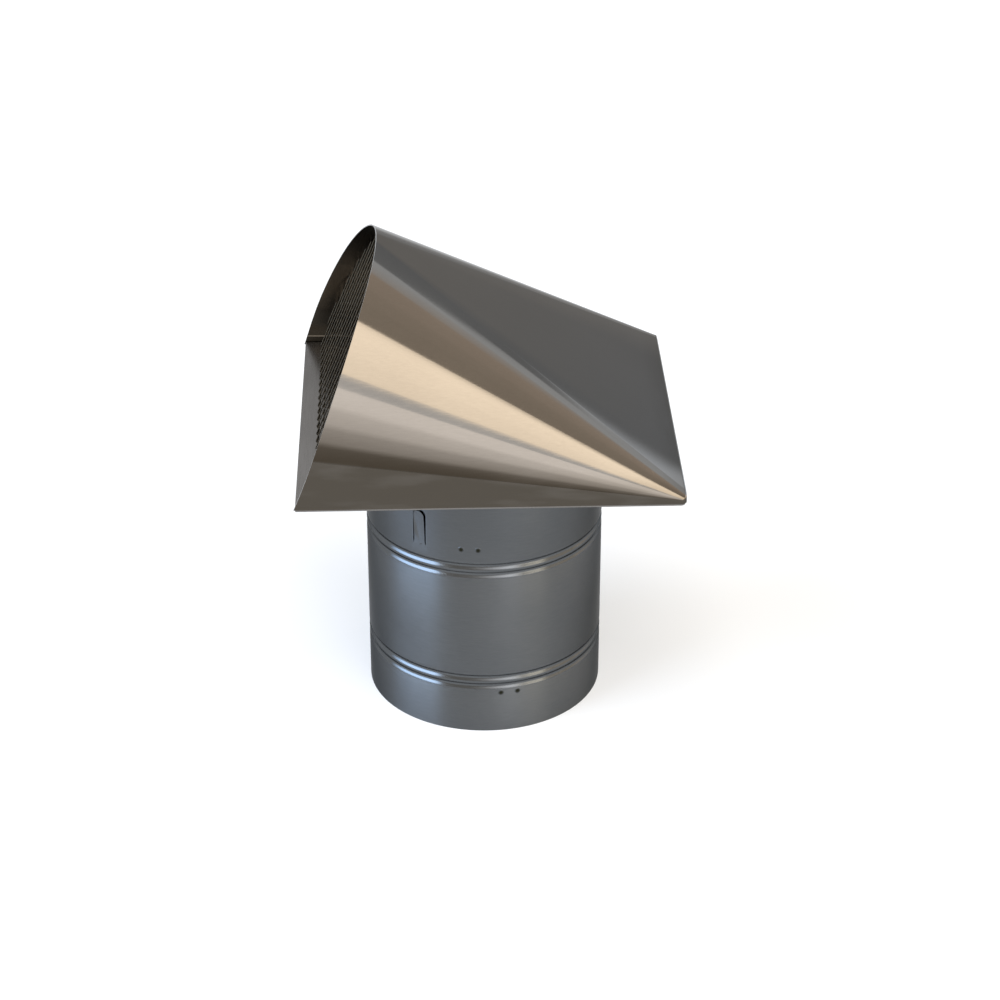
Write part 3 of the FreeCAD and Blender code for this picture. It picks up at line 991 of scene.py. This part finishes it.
def brushed_steel(name, dark, pale, rough, grain, cloud=9.0, relief=0.05, edge=0.5):
    """A brushed metal: two close colours, a roughness range and the grain's waves per metre.

    Dull sheet loses its shine towards a grazing view, and edge says how much of it is left.
    """
    finish = Finish(name)
    strokes = finish.noise(grain, 3.0, 0.6)
    fine = finish.noise(tuple(FINER * v for v in grain), 2.0, 0.6)
    clouds = finish.noise((cloud, cloud, cloud), 3.0)
    shade = (strokes * 0.45 + fine * 0.25 + clouds * 0.6 - 0.15).kept()
    colour = finish.blend(shade.rises(0.25, 0.75), dark, pale)
    low, high = rough
    roughness = (strokes * 0.5 + clouds * 0.5).rises(0.3, 0.7) * (high - low) + low
    finish.feed(Base_Color=colour, Roughness=roughness, Metallic=1.0)
    finish.shader.inputs["Specular Tint"].default_value = (edge, edge, edge, 1.0)
    values = {"Height": strokes, "Strength": relief, "Distance": STROKE_DEPTH}
    finish.feed(Normal=finish.node("ShaderNodeBump", {}, values)[0])
    return finish


# %% The hood's, the plate's and the wire's steel
hood_steel = brushed_steel(
    "hood_steel",
    dark=(0.106, 0.095, 0.082),
    pale=(0.124, 0.112, 0.097),
    rough=(0.07, 0.1),
    grain=(35.0, 900.0, 900.0),
    relief=0.025,
    edge=0.56,
)
plate_steel = brushed_steel(
    "plate_steel",
    dark=(0.17, 0.16, 0.15),
    pale=(0.22, 0.21, 0.2),
    rough=(0.24, 0.32),
    grain=(900.0, 35.0, 900.0),
)
screen_wire = brushed_steel(
    "screen_wire",
    dark=(0.038, 0.03, 0.021),
    pale=(0.078, 0.062, 0.043),
    rough=(0.45, 0.6),
    grain=(400.0, 400.0, 400.0),
)
print("Nodes in the hood's steel:", len(hood_steel.tree.nodes))

# %% [markdown]
# The hood's marks are read here: the inner side is darker and duller than the brushed one, with
# a painted shade near its foot, and a painted highlight brightens the mouth's edge and the rear
# fold. The outer side's foot gets a painted shade in patches, higher up towards the mouth.

# %% The hood's inner side, painted highlights on its edges and painted shade at its foot
# Painted shade: the outer side's foot is darkened in patches, reaching higher towards the mouth.
FOOT_SHADE = (0.073, 0.063, 0.05)
FOOT_SHADE_SLOPE = 0.15
FOOT_SHADE_FADE = (0.269, 0.285)
# The inner side's own dull grey gets a painted shade towards its foot.
INNER_FOOT_SHADE = (0.045, 0.039, 0.031)
INNER_HIGH = (0.1, 0.088, 0.073)
# The pale edge colour is a painted highlight along the mouth's edge and the rear fold.
EDGE_HIGHLIGHT = (0.6, 0.6, 0.61)

inner = hood_steel.marked("inner")
edge_highlight = hood_steel.marked("edge_highlight")
along, _, level = hood_steel.axes()
shade_patches = hood_steel.noise((14.0, 14.0, 60.0), 3.0).rises(0.2, 0.5)
foot_shade = (level + along * FOOT_SHADE_SLOPE).falls(*FOOT_SHADE_FADE) * shade_patches
colour = hood_steel.blend(foot_shade * 0.85, hood_steel.fed("Base Color"), FOOT_SHADE)
inner_tone_and_shade = hood_steel.blend(level.rises(0.26, 0.33), INNER_FOOT_SHADE, INNER_HIGH)
colour = hood_steel.blend(inner, colour, inner_tone_and_shade)
colour = hood_steel.blend(edge_highlight * 0.9, colour, EDGE_HIGHLIGHT)
roughness = hood_steel.fed("Roughness") + inner * 0.18 + edge_highlight * 0.15
hood_steel.feed(Base_Color=colour, Roughness=roughness)
print("Nodes in the hood's steel with its marks:", len(hood_steel.tree.nodes))

# %% [markdown]
# Inside the hood, a painted shade darkens the seam where the plate's bent edge lies against
# the hood's sides, so the bend doesn't catch the light there. It could be a thin bead of its
# own, but nothing stands out there, so a dark line in the finish is enough.

# %% The plate's seam, darkened by a painted shade
# The seam's dark colour is a painted shade in the corner against the hood's sides.
SEAM_SHADE = (0.02, 0.018, 0.015)

_, across, level = plate_steel.axes()
beside = across.maths("ABSOLUTE", across).rises((PLATE_HALF - 2.5) * MM, (PLATE_HALF - 1.0) * MM)
seam_shade = beside * level.rises((PLATE_TOP - 1.2) * MM, (PLATE_TOP - 0.8) * MM)
colour = plate_steel.blend(seam_shade, plate_steel.fed("Base Color"), SEAM_SHADE)
plate_steel.feed(Base_Color=colour)
print("Nodes in the plate's steel:", len(plate_steel.tree.nodes))

# %% [markdown]
# The duct's sheet comes off the roll with its grain round the duct, which draws every
# reflection out up and down the wall. Fine relief could do that too, but the shader's own
# anisotropy does it without noise. The swaging rollers have polished the beads, so the
# roughness drops there.

# %% The duct's finish
duct_steel = brushed_steel(
    "duct_steel",
    dark=(0.092, 0.097, 0.102),
    pale=(0.116, 0.122, 0.127),
    rough=(0.31, 0.38),
    grain=(90.0, 90.0, 900.0),
    cloud=14.0,
    relief=0.03,
    edge=0.4,
)
duct_steel.shader.inputs["Anisotropic"].default_value = 0.85
duct_steel.shader.inputs["Anisotropic Rotation"].default_value = 0.25
level = duct_steel.axes()[2]
polish = 0.0
for bead in BEADS:
    away = level.maths("ABSOLUTE", level - bead * MM)
    polish = away.falls(6.5 * MM, 9.0 * MM) + polish
duct_steel.feed(Roughness=duct_steel.fed("Roughness") - polish * 0.14)
print("Nodes in the duct's steel:", len(duct_steel.tree.nodes))

# %% [markdown]
# A weld's heat mark is darkest in the dimple and fades into the sheet's own colour at the rim.
# Every weld shares this finish, so it can't go by the duct's coordinates: the disc's own UV map
# gives the distance from its middle.

# %% The weld's finish
WELD_DARK = (0.02, 0.02, 0.013)
WELD_PALE = (0.1, 0.105, 0.11)
DISC_MIDDLE = (0.5, 0.5, 0.0)

weld_steel = brushed_steel(
    "weld_steel",
    dark=WELD_DARK,
    pale=WELD_PALE,
    rough=(0.35, 0.5),
    grain=(600.0, 600.0, 600.0),
    relief=0.1,
    edge=0.4,
)
values = {0: weld_steel.spot(UV_MAP), 1: DISC_MIDDLE}
from_middle = weld_steel.node("ShaderNodeVectorMath", {"operation": "DISTANCE"}, values)[1]
mottle = weld_steel.noise((900.0, 900.0, 900.0), 2.0)
fade = (from_middle + (mottle - 0.5) * 0.12).rises(0.2, 0.47)
weld_steel.feed(Base_Color=weld_steel.blend(fade, WELD_DARK, WELD_PALE))
print("Nodes in the weld's steel:", len(weld_steel.tree.nodes))

# %% [markdown]
# Each piece now puts on its finish. The bird screen and the collar inside the duct are the
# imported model's own pieces: the screen's wires are straight and thin, and the collar is hidden,
# so modelling them again would add nothing. They only get a finish on their slots.


# %% Put the finishes on
def wear(piece, finish):
    """Give a piece one finish on every slot that it has."""
    if not piece.data.materials:
        piece.data.materials.append(None)
    for slot in piece.material_slots:
        slot.material = finish.material


wear(hood, hood_steel)
wear(plate, plate_steel)
wear(duct, duct_steel)
wear(tongue, duct_steel)
for weld in welds:
    wear(weld, weld_steel)
wear(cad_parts["spigot_collar"], duct_steel)
wear(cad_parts["bird_screen"], screen_wire)

# %% [markdown]
# ## Floor and studio
#
# The photograph shows plain white round the object and long soft reflections in the steel. The
# floor is plain and pale, and half of what the camera or a mirror sees of it is plain white
# that casts no light, so that it shows white and still keeps the object's shadow.

# %% The floor
FLOOR_SIZE = 40.0
FLOOR_COLOUR = (0.72, 0.75, 0.8, 1.0)
FLOOR_GLOW = 0.5
WHITE = (1.0, 1.0, 1.0, 1.0)

clear_selection()
bpy.ops.mesh.primitive_plane_add(size=FLOOR_SIZE, location=(0.0, 0.0, 0.0))
floor = named("studio_floor")


def seen_directly(finish):
    """1 for rays from the camera, a mirror or glass, 0 for the rest."""
    rays = finish.node("ShaderNodeLightPath")
    names = {signal.socket.name: signal for signal in rays}
    return (names["Is Camera Ray"] + names["Is Glossy Ray"] + names["Is Transmission Ray"]).kept()


pale = Finish("studio_pale")
pale.feed(Base_Color=FLOOR_COLOUR, Roughness=0.9)
pale.shader.inputs["Specular IOR Level"].default_value = 0.0
glow = pale.node("ShaderNodeEmission", {}, {"Color": WHITE, "Strength": 1.0})[0]
share = seen_directly(pale) * FLOOR_GLOW
matt = Signal(pale, pale.shader.outputs[0])
mixed = pale.node("ShaderNodeMixShader", {}, {0: share, 1: matt, 2: glow})[0]
pale.tree.links.new(mixed.socket, pale.tree.nodes["Material Output"].inputs[0])
wear(floor, pale)
print("The floor's nodes:", len(pale.tree.nodes))

# %% [markdown]
# Lamps hung in the room could light the steel, but each would also leave its own falloff on the
# floor. Here the studio is a dome with soft boxes let into it, and each box ends where its
# image ends on the hood's bends. A box is a window in the direction in which a ray looks. On a
# level ceiling its sides are straight lines, so the direction is divided by its height: that
# gives how far ahead of the object and how far aside the ray meets the ceiling. Each box has a
# colour, a strength and soft edges, and the boxes' long sides lie a little aslant.


# %% The dome's nodes
class Dome(Finish):
    """The world's nodes, in which x, y and z are the direction in which a ray looks."""

    def __init__(self, name):
        world = bpy.data.worlds.new(name)
        bpy.context.scene.world = world
        world.use_nodes = True
        self.tree = world.node_tree
        self.x, self.y, self.z = self.axes(GENERATED)

    def tinted(self, strength, colour):
        """A colour whose brightness varies over the dome."""
        values = {0: colour, "Scale": strength}
        return self.node("ShaderNodeVectorMath", {"operation": "SCALE"}, values)[0]

    def total(self, lights):
        """The sum of several coloured lights."""
        found = lights[0]
        for light in lights[1:]:
            values = {0: found, 1: light}
            found = self.node("ShaderNodeVectorMath", {"operation": "ADD"}, values)[0]
        return found


def window(value, low, high, soft):
    """1 while a value lies between two bounds, with soft edges."""
    return value.rises(low - soft, low + soft) * value.falls(high - soft, high + soft)


SLANT = 0.6
SOFT = 0.03
NEAR_ZERO = 0.05
HORIZON = 0.02

dome = Dome("studio_dome")
height = dome.z.at_least(HORIZON)
aside = dome.x / height
ahead = dome.y * -1.0 / height
aslant = ahead - aside * SLANT
in_front = dome.y.falls(-0.05, 0.05)
above = dome.z.rises(0.0, 0.04)
print("The dome's first nodes:", len(dome.tree.nodes))

# %% [markdown]
# The hood's side shows, from its top crease down: a broad warm box overhead, the frame that
# parts it from the next, and a low pale box that fades towards the floor. The duct shows a box
# low on the right and a tall one on the left, cool below and neutral above.

# %% The soft boxes in front and at the sides
BOX_START = 0.0
BOX_END = 0.73
LOW_START = 0.87

broad = window(aslant, BOX_START, BOX_END, SOFT) * window(aside, -0.3, 0.75, 0.1)
broad = broad * (1.0 - aslant.rises(0.0, 0.65) * 0.16) * above
frame_between = window(aslant, BOX_END, LOW_START, SOFT) * window(aside, -0.4, 0.9, 0.1) * above
sideways = dome.x / (dome.y * -1.0).at_least(NEAR_ZERO)
low = (dome.z + dome.x).rises(0.28, 0.78) * aslant.rises(LOW_START - SOFT, LOW_START + SOFT)
low = low * sideways.falls(0.45, 0.7) * in_front * above
right = window(sideways, 0.65, 1.5, 0.2) * window(dome.z, 0.0, 0.4, 0.04) * in_front
leftward = dome.y / (dome.x * -1.0).at_least(NEAR_ZERO)
left = window(leftward, -0.98, 0.02, 0.12) * dome.x.falls(-0.2, -0.1)
left_high = left * window(dome.z, 0.42, 0.8, 0.05)
left_low = left * window(dome.z, 0.02, 0.42, 0.05)
print("The boxes start", BOX_START, "and end", BOX_END, "ahead, times the height")

# %% [markdown]
# The hood's flat top and its upper bends show the sky behind the object. It could be one plain
# tone, but the real sheet shows grey on top, a pale line along the crease and brown below it.
# So the sky has zones, which are laid by how far round to the right of straight behind a ray
# looks. Two narrow strips overhead draw the bright lines in the duct's grooves.

# %% The sky behind and the strips overhead
FAR_ASIDE = 1.8
SKY_LEAN = 0.35

behind = aslant.falls(BOX_START - SOFT, BOX_START + SOFT) * above
round_side = aside / (ahead * -1.0).at_least(NEAR_ZERO)
round_low = round_side + aside.at_most(FAR_ASIDE) * SKY_LEAN
pale_sky = round_low.rises(1.19, 1.25) * behind
warm_sky = round_low.rises(1.45, 1.95) * behind
line_sky = window(round_low, 1.22, 1.3, 0.02) * aside.rises(1.4, 2.4) * behind
deep_sky = ahead.rises(-0.3, 0.05) * behind * pale_sky
dim_sky = round_side.rises(0.42, 0.54) * behind
cool_strip = window(aside, -1.1, -0.85, 0.04) * window(ahead, -0.5, 1.1, 0.1) * above
gold_strip = window(aside, 0.95, 1.2, 0.04) * window(ahead, -0.5, 0.9, 0.1) * above
warm_side = dome.x.rises(0.55, 0.95) * dome.z.falls(0.2, 0.4)
print("The dome's nodes so far:", len(dome.tree.nodes))

# %% [markdown]
# White paper behind the object has to show as plain white, so the sky has strength 1 for the
# camera and in mirrors, and next to none for the light that reaches the floor. The zones only
# add to this or take from it. The boxes alone light the object, at the level at which the
# floor just shows as white.

# %% Add up the dome's light
SKY = (1.0, 1.02, 1.05)
BOUNCED = 0.04

direct = seen_directly(dome)
zones = (
    (in_front * above * (1.0 - behind), (-0.28, -0.36, -0.46)),
    (pale_sky, (1.08, 1.18, 1.32)),
    (warm_sky, (-0.2, -0.6, -1.03)),
    (line_sky, (0.7, 0.85, 1.1)),
    (deep_sky, (-0.3, -0.24, -0.23)),
    (dim_sky, (-0.18, -0.12, -0.03)),
    (warm_side, (-0.12, -0.17, -0.27)),
)
soft_boxes = (
    (broad, (6.65, 5.98, 5.1)),
    (frame_between, (2.15, 2.3, 2.55)),
    (low, (4.1, 4.1, 4.25)),
    (right, (3.3, 3.0, 2.5)),
    (left_low, (4.6, 6.6, 9.6)),
    (left_high, (5.6, 5.7, 5.8)),
    (cool_strip, (9.0, 10.0, 11.0)),
    (gold_strip, (10.5, 9.0, 6.4)),
)
lights = [dome.tinted(direct * (1.0 - BOUNCED) + BOUNCED, SKY)]
lights += [dome.tinted(direct * zone, colour) for zone, colour in zones]
lights += [dome.tinted(box, colour) for box, colour in soft_boxes]
background = dome.tree.nodes["Background"]
dome.tree.links.new(dome.total(lights).socket, background.inputs["Color"])
background.inputs["Strength"].default_value = 1.0
print("The dome's nodes:", len(dome.tree.nodes))
